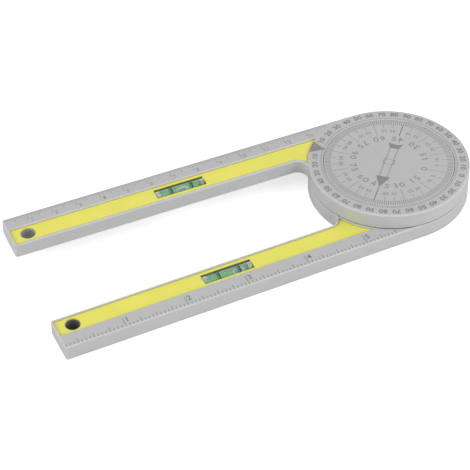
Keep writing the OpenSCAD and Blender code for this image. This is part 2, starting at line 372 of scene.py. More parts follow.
class Sheet:
    """A material's node tree while it is drawn."""

    def __init__(self, name: str) -> None:
        """Starts a material.

        Args:
            name: The material's name.
        """
        self.material = bpy.data.materials.new(name)
        self.material.use_nodes = True
        self.tree = self.material.node_tree
        self.nodes = self.tree.nodes
        self.shader = self.nodes["Principled BSDF"]
        self.position = self.nodes.new("ShaderNodeTexCoord").outputs["Object"]

    def set(self, **values: Socket | float | tuple) -> None:
        """Sets or links inputs of the shader.

        Args:
            **values: What each gets, by its name with underscores for spaces.
        """
        for name, value in values.items():
            feed(value, self.shader.inputs[name.replace("_", " ")])

    def noise(self, size: float, detail: float, stretch: Sequence[float] = (1, 1, 1)) -> Socket:
        """Adds a noise over the object.

        Args:
            size: About how large a patch of the noise is, in millimetres.
            detail: How many finer layers it has.
            stretch: How much denser the pattern is along each axis.

        Returns:
            The noise's value.
        """
        mapping = self.nodes.new("ShaderNodeMapping")
        mapping.inputs["Scale"].default_value = stretch
        feed(self.position, mapping.inputs["Vector"])
        noise = self.nodes.new("ShaderNodeTexNoise")
        noise.inputs["Scale"].default_value = 1 / (size * MM)
        noise.inputs["Detail"].default_value = detail
        feed(mapping.outputs["Vector"], noise.inputs["Vector"])
        return noise.outputs["Fac"]

    def spread(
        self, value: Socket, low: float, high: float, from_low: float = 0.3, from_high: float = 0.7
    ) -> Socket:
        """Maps a noise or a mask to a range.

        Args:
            value: The noise.
            low: What the range starts at.
            high: What the range ends at.
            from_low: The noise value that gives low.
            from_high: The noise value that gives high.

        Returns:
            The mapped value.
        """
        node = self.nodes.new("ShaderNodeMapRange")
        limits = {"From Min": from_low, "From Max": from_high, "To Min": low, "To Max": high}
        for name, number in limits.items():
            node.inputs[name].default_value = number
        feed(value, node.inputs["Value"])
        return node.outputs["Result"]

    def blend(self, factor: Socket, first: tuple | Socket, second: tuple | Socket) -> Socket:
        """Mixes two colours, each a constant or the output of an earlier mix.

        Args:
            factor: How much of the second colour shows.
            first: A colour.
            second: The other colour.

        Returns:
            The mixed colour.
        """
        node = self.nodes.new("ShaderNodeMix")
        node.data_type = "RGBA"
        colours = [socket for socket in node.inputs if socket.type == "RGBA"]
        feed(first, colours[0])
        feed(second, colours[1])
        feed(factor, node.inputs["Factor"])
        return node.outputs[2]

    def clouds(
        self, rgb: Rgb, shades: Span, size: float, detail: float, stretch: Sequence[float] = (1, 1, 1)
    ) -> Socket:
        """Mixes a darker and a lighter shade of a colour in soft patches.

        Args:
            rgb: The colour.
            shades: How light the two shades are next to it.
            size: The size of the patches, as for noise.
            detail: Their detail, as for noise.
            stretch: Their stretch, as for noise.

        Returns:
            The mixed colour.
        """
        dark, light = shades
        patches = self.spread(self.noise(size, detail, stretch), 0, 1)
        return self.blend(patches, shade(rgb, dark), shade(rgb, light))

    def bump(self, height: Socket, depth: float, strength: float) -> None:
        """Adds relief, on top of what the shader already has.

        Args:
            height: The relief's height.
            depth: How deep it is, in millimetres.
            strength: How much of it shows.
        """
        node = self.nodes.new("ShaderNodeBump")
        node.inputs["Distance"].default_value = depth * MM
        node.inputs["Strength"].default_value = strength
        feed(height, node.inputs["Height"])
        normal = self.shader.inputs["Normal"]
        if normal.is_linked:
            feed(normal.links[0].from_socket, node.inputs["Normal"])
        feed(node.outputs["Normal"], normal)

    def rounded(self, radius: float) -> Socket:
        """Rounds the edges as the light sees them.

        Args:
            radius: The edges' radius, in millimetres.

        Returns:
            The surface's normal.
        """
        node = self.nodes.new("ShaderNodeBevel")
        node.samples = BEVEL_SAMPLES
        node.inputs["Radius"].default_value = radius * MM
        return node.outputs["Normal"]

    def edges(self, radius: float) -> Socket:
        """Marks what lies near an edge.

        Args:
            radius: How far from the edge the mark reaches, in millimetres.

        Returns:
            1 on the edge and 0 away from it.
        """
        flat = self.nodes.new("ShaderNodeNewGeometry").outputs["Normal"]
        likeness = self.nodes.new("ShaderNodeVectorMath")
        likeness.operation = "DOT_PRODUCT"
        feed(self.rounded(radius), likeness.inputs[0])
        feed(flat, likeness.inputs[1])
        return self.spread(likeness.outputs["Value"], 1, 0, from_low=0.93, from_high=0.99)

    def along(self, axis: str, centre: float, reach: float) -> Socket:
        """Marks a stretch of the object along one axis.

        Args:
            axis: The axis, "X", "Y" or "Z".
            centre: The middle of the stretch, in millimetres.
            reach: How far it goes to each side, in millimetres.

        Returns:
            1 inside the stretch and 0 outside it.
        """
        split = self.nodes.new("ShaderNodeSeparateXYZ")
        feed(self.position, split.inputs[0])
        return calculate(self.tree, "COMPARE", split.outputs[axis], centre * MM, reach * MM)

    def within(self, radius: float, centre: Span = (0.0, 0.0)) -> Socket:
        """Marks what lies nearer to an upright axis than a radius.

        Args:
            radius: The radius, in millimetres.
            centre: Where the axis is, in millimetres. Without it, it is the pivot's.

        Returns:
            1 inside the radius and 0 outside it.
        """
        flat = self.nodes.new("ShaderNodeVectorMath")
        flat.operation = "MULTIPLY_ADD"
        flat.inputs[1].default_value = (1.0, 1.0, 0.0)
        flat.inputs[2].default_value = (-centre[0] * MM, -centre[1] * MM, 0.0)
        length = self.nodes.new("ShaderNodeVectorMath")
        length.operation = "LENGTH"
        feed(self.position, flat.inputs[0])
        feed(flat.outputs["Vector"], length.inputs[0])
        return calculate(self.tree, "LESS_THAN", length.outputs["Value"], radius * MM)

    def facing(self, blend: float) -> Socket:
        """Marks where the surface turns away from the eye, as glass does at its rim.

        Args:
            blend: How much of the surface that is.

        Returns:
            1 where it looks aside and 0 where it looks at the eye.
        """
        node = self.nodes.new("ShaderNodeLayerWeight")
        node.inputs["Blend"].default_value = blend
        return node.outputs["Facing"]

    def glow(self, colour: Socket, mask: Socket, strengths: Span) -> None:
        """Makes the shader glow with painted light, though the part is no lamp.

        Args:
            colour: The light's colour.
            mask: Where it comes out.
            strengths: Its strength where the mask is 0 and where it is 1.
        """
        strength = self.spread(mask, *strengths, from_low=0, from_high=1)
        self.set(Emission_Color=colour, Emission_Strength=strength)


@dataclass(frozen=True)
class Look:
    """What every finish has.

    Attributes:
        name: The material's name.
        rgb: Its colour.
    """

    name: str
    rgb: Rgb


@dataclass(frozen=True)
class MouldedPlastic(Look):
    """Moulded plastic with a fine eroded grain, faint handling marks and a painted highlight along its edges.

    Attributes:
        grain: The size of its grain, in millimetres.
        rough: The least and the most of its roughness.
        seam_shade: The radius and the height of a face round the pivot that is
        painted nearly black, painted shade that shows through the seam, if it has one.
        hole: The mount of a hole whose wall is painted darker, painted shade in the hole, if it has one.
        hole_shade: How light that painted shade leaves the hole's wall next to the rest.
    """

    grain: float = 0.22
    rough: Span = (0.44, 0.58)
    seam_shade: Span | None = None
    hole: str | None = None
    hole_shade: float = 1.0

    def make(self) -> Finish:
        """Draws the plastic.

        Returns:
            The material.
        """
        sheet = Sheet(self.name)
        rubbed = sheet.spread(sheet.noise(3.1, 6, (0.25, 1, 1)), 0, 0.35, from_low=0.58, from_high=0.78)
        base = sheet.clouds(self.rgb, (0.975, 1.02), size=24, detail=4)
        base = sheet.blend(rubbed, base, shade(self.rgb, 1.06))
        # Painted highlight: the plastic is painted lighter near its edges, the inner corners too.
        base = sheet.blend(sheet.edges(radius=0.7), base, shade(self.rgb, 1.5))
        # Painted shade: the face round the pivot at this height, under the ring, is painted nearly black, so
        # that the seam between the halves looks dark.
        if self.seam_shade:
            radius, height = self.seam_shade
            level = sheet.along("Z", height, reach=0.2)
            painted_seam_shade = calculate(sheet.tree, "MULTIPLY", sheet.within(radius), level)
            base = sheet.blend(painted_seam_shade, base, shade(self.rgb, 0.08))
        # Painted shade: the wall of the hang hole is painted darker.
        if self.hole:
            mount = next(mount for mount in frame["record"]["mounts"] if mount["name"] == self.hole)
            x, y, _ = mount["pos_m"]
            past_wall = 0.03
            painted_bore_shade = sheet.within(mount["dims"]["r_mm"] + past_wall, (x / MM, y / MM))
            base = sheet.blend(painted_bore_shade, base, shade(self.rgb, self.hole_shade))
        sheet.set(
            Base_Color=base,
            Roughness=sheet.spread(sheet.noise(7, 5), *self.rough),
            Normal=sheet.rounded(radius=0.8),
            Specular_IOR_Level=0.42,
            IOR=1.49,
        )
        sheet.bump(sheet.noise(self.grain, 3), depth=0.012, strength=0.55)
        sheet.bump(sheet.noise(11, 2), depth=0.05, strength=0.25)
        return sheet.material


@dataclass(frozen=True)
class PrintedInk(Look):
    """Ink or moulded-in paint of a mark, a little thinner in places.

    Attributes:
        rough: Its roughness.
    """

    rough: float = 0.55

    def make(self) -> Finish:
        """Draws the ink.

        Returns:
            The material.
        """
        sheet = Sheet(self.name)
        thin = sheet.spread(sheet.noise(0.35, 4), 0, 0.5, from_low=0.45, from_high=0.8)
        sheet.set(
            Base_Color=sheet.blend(thin, shade(self.rgb), shade(self.rgb, 1.35)),
            Roughness=sheet.spread(sheet.noise(0.8, 2), self.rough - 0.06, self.rough + 0.06),
        )
        sheet.bump(sheet.noise(0.12, 2), depth=0.004, strength=0.4)
        return sheet.material


@dataclass(frozen=True)
class LabelFilm(Look):
    """Yellow film with a satin face, printed a little unevenly, whose rim is painted dark, painted shade."""

    def make(self) -> Finish:
        """Draws the film.

        Returns:
            The material.
        """
        sheet = Sheet(self.name)
        fine = sheet.spread(sheet.noise(0.3, 2), 0, 0.3, from_low=0.4, from_high=0.7)
        base = sheet.clouds(self.rgb, (0.97, 1.02), size=9, detail=3)
        # Painted shade: the film is painted dark near its edges.
        base = sheet.blend(sheet.edges(radius=0.45), base, shade(self.rgb, 0.25))
        sheet.set(
            Base_Color=sheet.blend(fine, base, shade(self.rgb, 0.94)),
            Roughness=sheet.spread(sheet.noise(5, 3), 0.3, 0.4),
            Specular_IOR_Level=0.45,
            Coat_Weight=0.15,
            Coat_Roughness=0.25,
        )
        sheet.bump(sheet.noise(14, 2), depth=0.03, strength=0.3)
        return sheet.material


@dataclass(frozen=True)
class ClearPlastic(Look):
    """Clear plastic, fluid or air whose rim is painted darker than its middle as painted shade, or lighter as
    a painted reflection.

    Attributes:
        rim: Its painted colour where it turns away from the eye: darker for painted shade, lighter for a
            painted reflection.
        alpha: How much it hides what lies behind it.
        rough: Its roughness.
        glow: How strongly it glows with painted light, though it is no lamp.
        turned: Where the rim's colour starts and where it is full, from 0
            where the face looks at the eye to 1 where it looks aside.
    """

    rim: Rgb
    alpha: float = 1.0
    rough: float = 0.06
    glow: float = 0.0
    turned: Span = (0.35, 0.95)

    def make(self) -> Finish:
        """Draws the clear plastic, fluid or air.

        Returns:
            The material.
        """
        sheet = Sheet(self.name)
        patches = sheet.spread(sheet.noise(2.2, 2), 0, 1)
        base = sheet.blend(patches, shade(self.rgb, 0.92), shade(self.rgb, 1.06))
        # Painted rim: a darker rim colour is painted shade, a lighter one a painted reflection.
        look = sheet.blend(sheet.spread(sheet.facing(0.35), 0, 1, *self.turned), base, shade(self.rim))
        # Painted glow, in patches, though the part is no lamp.
        if self.glow:
            sheet.glow(look, patches, (self.glow * 0.85, self.glow * 1.15))
        sheet.set(
            Base_Color=look,
            Roughness=sheet.spread(sheet.noise(2.5, 2), self.rough * 0.6, self.rough * 1.6),
            Alpha=self.alpha,
            IOR=1.49,
            Specular_IOR_Level=0.5,
            Coat_Weight=0.6,
            Coat_Roughness=0.03,
        )
        sheet.bump(sheet.noise(3.5, 2), depth=0.008, strength=0.15)
        return sheet.material


@dataclass(frozen=True)
class VialTube(Look):
    """Clear tube that looks filled where the fluid is, as its wall magnifies it, with a painted dark rim and
    a painted glow under its axis.

    Attributes:
        clear: Its colour over the plugs, where rgb is that over the fluid.
        middle: The middle of the tube, in millimetres.
        fluid_reach: How far the fluid goes to each side of it.
        half: Half the height under its axis that the eye can't see through.
    """

    clear: Rgb
    middle: Vector
    fluid_reach: float
    half: float = 1.3

    def make(self) -> Finish:
        """Draws the tube.

        Returns:
            The material.
        """
        sheet = Sheet(self.name)
        filled = sheet.along("X", self.middle.x, self.fluid_reach)
        below = sheet.along("Z", self.middle.z - self.half, self.half)
        wet = sheet.clouds(self.rgb, (0.82, 1.2), size=1.6, detail=3, stretch=(0.35, 1, 1))
        # Painted shade: the rim of the filled part is painted dark.
        rim = sheet.spread(sheet.facing(0.3), 0, 1, from_low=0.55, from_high=0.98)
        turned = sheet.spread(sheet.facing(0.5), 0.06, 0.95, from_low=0.25, from_high=0.55)
        full = sheet.blend(rim, wet, shade(self.rgb, 0.3))
        sheet.set(
            Base_Color=sheet.blend(filled, shade(self.clear), full),
            Roughness=sheet.spread(sheet.noise(2.5, 2), 0.04, 0.1),
            Alpha=calculate(sheet.tree, "MAXIMUM", below, turned),
            IOR=1.49,
            Specular_IOR_Level=0.5,
            Coat_Weight=0.8,
            Coat_Roughness=0.03,
        )
        sheet.bump(sheet.noise(4, 2), depth=0.01, strength=0.15)
        # Painted glow where the fluid is, under the axis, though the tube is no lamp.
        sheet.glow(wet, calculate(sheet.tree, "MULTIPLY", below, filled), strengths=(0.0, 0.9))
        return sheet.material


@dataclass(frozen=True)
class Metal(Look):
    """Plated or bright steel with fine drawn lines.

    Attributes:
        rough: The least and the most of its roughness.
    """

    rough: Span = (0.25, 0.42)

    def make(self) -> Finish:
        """Draws the metal.

        Returns:
            The material.
        """
        sheet = Sheet(self.name)
        sheet.set(
            Base_Color=sheet.clouds(self.rgb, (0.85, 1.08), size=1.4, detail=4),
            Roughness=sheet.spread(sheet.noise(0.5, 5, (0.2, 1, 1)), *self.rough),
            Metallic=1.0,
        )
        sheet.bump(sheet.noise(0.25, 3, (0.15, 1, 1)), depth=0.006, strength=0.5)
        return sheet.material


class Finishes:
    """All the materials of the tool."""

    def __init__(self) -> None:
        """Makes the materials."""
        grey = (0.53, 0.53, 0.532)
        # The upper arm's plastic has a little painted shade on the wall of its hang hole.
        self.grey = MouldedPlastic("moulded_grey", grey, hole="upper_hang_hole", hole_shade=0.65).make()
        # The lower arm's plastic carries painted shade: round the pivot, where the seam shows it, and on the
        # wall of its hang hole.
        self.hub = MouldedPlastic(
            "moulded_grey_hub", grey, seam_shade=(HUB_R, FACE_Z), hole="lower_hang_hole", hole_shade=0.3
        ).make()
        self.dial = MouldedPlastic("dial_grey", (0.527, 0.527, 0.529), 0.18, (0.38, 0.5)).make()
        self.ink = PrintedInk("mark_grey", (0.25, 0.247, 0.24)).make()
        self.scale_inks = {
            Body.LOWER: PrintedInk("lower_scale_grey", (0.215, 0.212, 0.21)).make(),
            Body.UPPER: PrintedInk("upper_scale_grey", (0.34, 0.337, 0.335)).make(),
        }
        self.black = PrintedInk("vial_line_black", (0.02, 0.022, 0.022), rough=0.4).make()
        # Painted shadow: the dark sheets round the inside of the vials' windows.
        self.rim = PrintedInk("window_painted_shadow", (0.15, 0.155, 0.09), rough=0.6).make()
        self.label = LabelFilm("label_yellow", (0.87, 0.83, 0.125)).make()
        self.tubes = {arm: self.vial_tube(arm) for arm in ("lower", "upper")}
        # The plugs' and the fluid's rims are painted darker, painted shade; the bubble's white rim is a
        # painted reflection, and the bubble glows with painted light.
        self.plug = ClearPlastic("vial_plug_frosted", (0.72, 0.76, 0.76), (0.35, 0.4, 0.4), rough=0.25).make()
        self.fluid = ClearPlastic("vial_fluid_green", (0.27, 0.6, 0.36), (0.12, 0.35, 0.18), 0.15).make()
        self.bubble = ClearPlastic(
            "vial_bubble_air", (0.3, 0.33, 0.37), (1.0, 1.0, 1.0), glow=0.45, turned=(0.1, 0.45)
        ).make()
        self.nylon = MouldedPlastic("washer_nylon", (0.82, 0.8, 0.74), 0.3, (0.35, 0.5)).make()
        self.spring = Metal("spring_steel", (0.55, 0.56, 0.58)).make()
        self.zinc = Metal("zinc_plate", (0.62, 0.63, 0.65), (0.3, 0.5)).make()

    def vial_tube(self, arm: str) -> Finish:
        """Makes the material of one arm's tube, green between its plugs.

        Args:
            arm: What the names of the arm's nodes start with.

        Returns:
            The material.
        """
        low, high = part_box(f"{arm}_vial_tube")
        low_fluid, high_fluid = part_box(f"{arm}_vial_fluid")
        reach = (high_fluid.x - low_fluid.x) / 2 / MM
        middle = (low + high) / 2 / MM
        return VialTube(f"{arm}_vial_tube_clear", (0.24, 0.5, 0.3), (0.78, 0.84, 0.84), middle, reach).make()

    def dress(self) -> None:
        """Gives every CAD node its finish."""
        by_node = {
            "lower_arm": self.hub,
            "upper_arm": self.grey,
            "dial_disc": self.dial,
            "dial_screws": self.zinc,
            "thrust_washer": self.nylon,
            "glide_washer": self.nylon,
            "spring_washer": self.spring,
        }
        for arm in ("lower", "upper"):
            by_node[f"{arm}_label"] = self.label
            by_node[f"{arm}_vial_tube"] = self.tubes[arm]
            by_node[f"{arm}_vial_tip_plug"] = self.plug
            by_node[f"{arm}_vial_dial_plug"] = self.plug
            by_node[f"{arm}_vial_fluid"] = self.fluid
            by_node[f"{arm}_vial_bubble"] = self.bubble
        for name, node in frame["nodes"].items():
            node.data.materials.clear()
            node.data.materials.append(by_node[name])
            LOG.info("%s: dressed in %s", name, by_node[name].name)


# Printed marks, and the dark sheets of painted shadow in the windows


@dataclass(frozen=True)
class Press:
    """Models the lines and numerals that are printed on a face.

    Attributes:
        proud: How far a mark stands over its face.
        sunk: How far it reaches into the plastic.
        inset: How far the upper edges of a line are drawn in, at most.
    """

    proud: float = 0.03
    sunk: float = 0.02
    inset: float = 0.03

    def line(self, width: float, length: float) -> Piece:
        """Models a line mark from the origin to -Y whose upper edges are drawn in.

        Args:
            width: The line's width.
            length: The line's length.

        Returns:
            The mark, with the face it is printed on at height 0.
        """
        deselect_all()
        middle = (0, -length / 2, (self.proud - self.sunk) / 2)
        bpy.ops.mesh.primitive_cube_add(size=1, location=middle)
        mark = bpy.context.object
        mark.scale = (width, length, self.proud + self.sunk)
        apply_place(mark)
        select_faces(mark, Vector((0, 0, 1)))
        inset = min(self.inset, width / 5)
        bpy.ops.transform.resize(value=(1 - 2 * inset / width, 1 - 2 * inset / length, 1))
        bpy.ops.object.mode_set(mode="OBJECT")
        return mark

    def thicken(self, mark: Piece) -> None:
        """Gives a flat mark its thickness, from its own height upwards.

        Args:
            mark: The flat mark.
        """
        select_mesh(mark)
        bpy.ops.mesh.remove_doubles(threshold=MERGE)
        up = (0, 0, self.proud + self.sunk)
        bpy.ops.mesh.extrude_region_move(TRANSFORM_OT_translate={"value": up})
        bpy.ops.object.mode_set(mode="OBJECT")
        clean_mesh(mark)

    def numeral(
        self, text: str, height: float, bold: float = 0.0, wide: float = 1.0, spaced: float = 1.05
    ) -> Piece:
        """Models a number, centred on the origin and read along +X.

        Args:
            text: The digits.
            height: The height of a digit.
            bold: How much the strokes are thickened, as a share of the height.
            wide: How much wider than the plain typeface the digits are.
            spaced: How far apart the digits stand, as a share of the plain spacing.

        Returns:
            The number, with the face it is printed on at height 0.
        """
        deselect_all()
        bpy.ops.object.text_add(location=(0, 0, 0))
        letters = bpy.context.object.data
        letters.body = text
        letters.size = 1.0
        letters.offset = bold
        letters.resolution_u = CURVE_STEPS
        letters.space_character = spaced
        bpy.ops.object.convert(target="MESH")
        mark = bpy.context.object
        across, up = zip(*[point.co.xy for point in mark.data.vertices])
        share = height / (max(up) - min(up))
        middle_x, middle_y = (min(across) + max(across)) / 2, (min(up) + max(up)) / 2
        mark.scale = (share * wide, share, 1)
        mark.location = (-middle_x * share * wide, -middle_y * share, -self.sunk)
        apply_place(mark)
        self.thicken(mark)
        return mark

    def outline(self, corners: Sequence[Span]) -> Piece:
        """Models a filled shape.

        Args:
            corners: Its corners, in order.

        Returns:
            The shape, with the face it is printed on at height 0.
        """
        deselect_all()
        bpy.ops.mesh.primitive_circle_add(vertices=len(corners), fill_type="NGON", location=(0, 0, 0))
        mark = bpy.context.object
        for point, (x, y) in zip(mark.data.vertices, corners):
            point.co = (x, y, -self.sunk)
        self.thicken(mark)
        return mark


PRESS = Press()


def lines_round(radii: Span, width: float, turns: Iterable[int], height: float) -> list[Piece]:
    """Prints radial lines round the pivot.

    Args:
        radii: The radii that a line runs between.
        width: The line's width.
        turns: How far each line is from the index, in degrees.
        height: The height of the face they are printed on.

    Returns:
        The lines.
    """
    inner, outer = radii
    return stamp_circle(PRESS.line(width, outer - inner), outer, [INDEX_AT + turn for turn in turns], height)


@dataclass(frozen=True)
class RuledScale:
    """The ruler printed along an arm's outer edge, in the arm's own frame.

    Attributes:
        arm: The arm.
        zero: Where the scale counts from, along the arm.
        step: The distance between two ticks.
        last: The last tick that shows, counted from 1.
        lengths: Tick lengths, each for the ticks that its number divides,
            the coarsest first.
        per_number: How many ticks there are to a number.
        number_shift: How far past its tick a number stands.
        number_y: How far out the middle of a number is.
        number_height: The height of a digit.
        edge: How far out a tick starts.
        line_width: The width of a tick.
    """

    arm: Arm
    zero: float
    step: float
    last: int
    lengths: dict[int, float]
    per_number: int
    number_shift: float
    number_y: float
    number_height: float
    edge: float = 32.0
    line_width: float = 0.31

    def build(self, finishes: Finishes) -> Piece:
        """Builds the scale.

        Args:
            finishes: The tool's materials.

        Returns:
            The finished piece.
        """
        outward = self.arm.outward
        turn = 0.0 if outward > 0 else math.pi
        rows: dict[int, list[Matrix]] = {divisor: [] for divisor in self.lengths}
        for tick in range(1, self.last + 1):
            divisor = next(number for number in self.lengths if tick % number == 0)
            rows[divisor].append(at(self.zero + tick * self.step, outward * self.edge, TRACK_Z, turn))
        marks: list[Piece] = []
        for divisor, places in rows.items():
            marks += stamp(PRESS.line(self.line_width, self.lengths[divisor]), places)
        for number in range(1, self.last // self.per_number + 1):
            digits = PRESS.numeral(str(number), self.number_height, bold=0.008)
            x = self.zero + number * self.per_number * self.step + self.number_shift
            digits.matrix_world = at(x, outward * self.number_y, TRACK_Z)
            marks.append(digits)
        ink = finishes.scale_inks[self.arm.body]
        piece = joined(f"{self.arm.name}_scale", marks)
        return settle(piece, self.arm.place, self.arm.body, ink)


@dataclass(frozen=True)
class RingScale:
    """The outer graduations, on the upper arm's ring, and the index on it.

    Attributes:
        number_r: The radius that the middles of the numbers are at.
        number_height: The height of a digit.
        number_bold: How much its strokes are thickened.
        number_wide: How much wider than the plain typeface it is.
        fine_r: The radii that a fine line runs between.
        fine_width: The width of a fine line.
        index_tip_r: The radius of the index triangle's tip.
        index_base_r: The radius of its base.
        index_half: Half the width of its base.
        index_steps: How many steps the arc of its base is drawn in.
    """

    number_r: float = 29.75
    number_height: float = 2.3
    number_bold: float = 0.028
    number_wide: float = 1.08
    fine_r: Span = (26.75, 27.6)
    fine_width: float = 0.16
    index_tip_r: float = 26.6
    index_base_r: float = 32.5
    index_half: float = 3.45
    index_steps: int = 8

    def numbers(self) -> Piece:
        """Models the numbers, every ten degrees both ways from the index.

        Returns:
            The numbers as one object.
        """
        marks: list[Piece] = []
        for value in range(0, 100, 10):
            pattern = PRESS.numeral(str(value), self.number_height, self.number_bold, self.number_wide)
            turns = [turn for turn in range(10, 360, 10) if min(turn % 180, 180 - turn % 180) == value]
            marks += stamp_circle(pattern, self.number_r, [INDEX_AT - turn for turn in turns], TRACK_Z)
        return joined("ring_numbers", marks)

    def fine_lines(self) -> Piece:
        """Models the one-degree lines round the ring's opening.

        Returns:
            The lines as one object.
        """
        return joined("ring_fine_lines", lines_round(self.fine_r, self.fine_width, range(360), TRACK_Z))

    def index(self) -> Piece:
        """Models the dark triangle that points at the dial.

        Returns:
            The triangle.
        """
        half = math.degrees(math.asin(self.index_half / self.index_base_r))
        arc = [INDEX_AT + half * (1 - 2 * i / self.index_steps) for i in range(self.index_steps + 1)]
        corners = [polar(self.index_base_r, angle) for angle in arc] + [polar(self.index_tip_r, INDEX_AT)]
        mark = PRESS.outline(list(reversed(corners)))
        mark.location.z = TRACK_Z
        return joined("ring_index", [mark])

    def build(self, finishes: Finishes) -> list[Piece]:
        """Builds the ring's marks.

        Args:
            finishes: The tool's materials.

        Returns:
            The finished pieces.
        """
        pieces = (self.numbers(), self.fine_lines(), self.index())
        return [settle(piece, UPPER.place, UPPER.body, finishes.ink) for piece in pieces]


@dataclass(frozen=True)
class DialScale:
    """The dial's own graduations, whose values run from 0 to 90 and back in half a turn.

    Attributes:
        pointed_at: The value that the arrow's line runs through.
        big_r: The radius that the middles of the big numbers are at.
        big_height: The height of their digits.
        big_bold: How much the strokes are thickened.
        big_wide: How much wider than the plain typeface they are.
        big_spaced: How far apart their digits stand.
        split_spaced: How far apart those stand that the arrow's line parts.
        small_r: The radius that the middles of the small numbers are at.
        small_height: The height of their digits.
        small_wide: How much wider than the plain typeface they are.
        fine_r: The radii that a fine line runs between.
        fine_width: The width of a fine line.
        short_r: The radii that a short line runs between.
        short_width: The width of a short line.
        long_r: The radii that a long line runs between.
        long_width: The width of a long line.
    """

    pointed_at: int = 45
    big_r: float = 14.5
    big_height: float = 2.7
    big_bold: float = -0.004
    big_wide: float = 1.18
    big_spaced: float = 1.2
    split_spaced: float = 2.4
    small_r: float = 19.3
    small_height: float = 1.6
    small_wide: float = 1.05
    fine_r: Span = (23.4, 25.95)
    fine_width: float = 0.3
    short_r: Span = (21.0, 23.4)
    short_width: float = 0.2
    long_r: Span = (16.8, 23.5)
    long_width: float = 0.22

    def angle_of(self, value: int, side: int) -> float:
        """Returns where a value of the dial stands.

        Args:
            value: The value, from 0 to 90.
            side: 1 or -1, for the two directions that the values run in.

        Returns:
            The angle from +X in degrees.
        """
        return INDEX_AT + side * (90 - value) * 2

    def numbers(self) -> Piece:
        """Models the big numbers, every fifteen of the dial's degrees.

        Returns:
            The numbers as one object.
        """
        marks: list[Piece] = []
        for value in range(0, 91, 15):
            for side in (1,) if value in (0, 90) else (1, -1):
                split = value == self.pointed_at and side > 0
                spaced = self.split_spaced if split else self.big_spaced
                pattern = PRESS.numeral(str(value), self.big_height, self.big_bold, self.big_wide, spaced)
                angles = [self.angle_of(value, side)]
                marks += stamp_circle(pattern, self.big_r, angles, DIAL_Z, Facing.INWARD)
        return joined("dial_numbers", marks)

    def small_numbers(self) -> Piece:
        """Models the small numbers between the big ones.

        Returns:
            The numbers as one object.
        """
        marks: list[Piece] = []
        for value in [value for value in range(5, 90, 5) if value % 15]:
            pattern = PRESS.numeral(str(value), self.small_height, wide=self.small_wide)
            angles = [self.angle_of(value, side) for side in (1, -1)]
            marks += stamp_circle(pattern, self.small_r, angles, DIAL_Z, Facing.INWARD)
        return joined("dial_small_numbers", marks)

    def lines(self) -> list[Piece]:
        """Models the dial's lines: fine, long and short.

        Returns:
            The fine lines as one object, and the others as another.
        """
        between = [turn for turn in range(0, 360, 10) if turn % 30]
        fine = lines_round(self.fine_r, self.fine_width, range(0, 360, 2), DIAL_Z)
        marks = lines_round(self.long_r, self.long_width, range(0, 360, 30), DIAL_Z)
        marks += lines_round(self.short_r, self.short_width, between, DIAL_Z)
        return [joined("dial_fine_lines", fine), joined("dial_lines", marks)]

    def build(self, finishes: Finishes) -> list[Piece]:
        """Builds the dial's marks.

        Args:
            finishes: The tool's materials.

        Returns:
            The finished pieces.
        """
        pieces = [self.numbers(), self.small_numbers(), *self.lines()]
        pieces.append(DialArrow().model(math.radians(INDEX_AT + 90)))
        return [settle(piece, DIAL_PLACE, Body.LOWER, finishes.ink) for piece in pieces]


@dataclass(frozen=True)
class DialArrow:
    """The arrow across the dial, with its tail and the small frame in its middle.

    It is modelled along +X, with the pivot at the origin.

    Attributes:
        head_x: Where the head starts and where its tip is.
        head_half: Half the head's width.
        tail_x: Where the tail starts, its notch and its far corners, towards -X.
        tail_half: Half the tail's width at its start and at its far corners.
        rail_y: How far each rail between head and tail is from the middle.
        rail_width: The width of a rail.
        line_end: How far out the lines before the head and behind the tail go.
        line_starts: Where those two lines start.
        line_width: The width of those lines and of the frame's.
        frame_half: Half the frame's length and half its width.
    """

    head_x: Span = (9.25, 15.8)
    head_half: float = 2.85
    tail_x: tuple[float, float, float] = (8.6, 10.9, 11.7)
    tail_half: Span = (1.7, 3.1)
    rail_y: float = 1.6
    rail_width: float = 0.3
    line_end: float = 24.0
    line_starts: Span = (15.6, 16.8)
    line_width: float = 0.26
    frame_half: Span = (1.45, 2.2)

    def model(self, turn: float) -> Piece:
        """Models the arrow on the dial.

        Args:
            turn: Which way it points, in radians from +X.

        Returns:
            The arrow as one object.
        """
        base, tip = self.head_x
        start, notch, end = self.tail_x
        near, far = self.tail_half
        before, behind = self.line_starts
        half_x, half_y = self.frame_half
        along, across = math.radians(-90), 0.0
        head = [(base, -self.head_half), (tip, 0), (base, self.head_half)]
        tail = [(-start, near), (-end, far), (-notch, 0), (-end, -far), (-start, -near)]
        marks = [PRESS.outline(head), PRESS.outline(tail)]
        for width, length, way, starts in (
            (self.rail_width, base + start, along, [(base, self.rail_y), (base, -self.rail_y)]),
            (self.line_width, self.line_end - before, along, [(self.line_end, 0)]),
            (self.line_width, self.line_end - behind, along, [(-behind, 0)]),
            (self.line_width, 2 * half_x, along, [(half_x, half_y), (half_x, -half_y)]),
            (self.line_width, 2 * half_y, across, [(half_x, half_y), (-half_x, half_y)]),
        ):
            marks += stamp(PRESS.line(width, length), [at(x, y, 0, way) for x, y in starts])
        arrow = joined("dial_arrow", marks)
        arrow.matrix_world = at(0, 0, DIAL_Z, turn)
        apply_place(arrow)
        return arrow


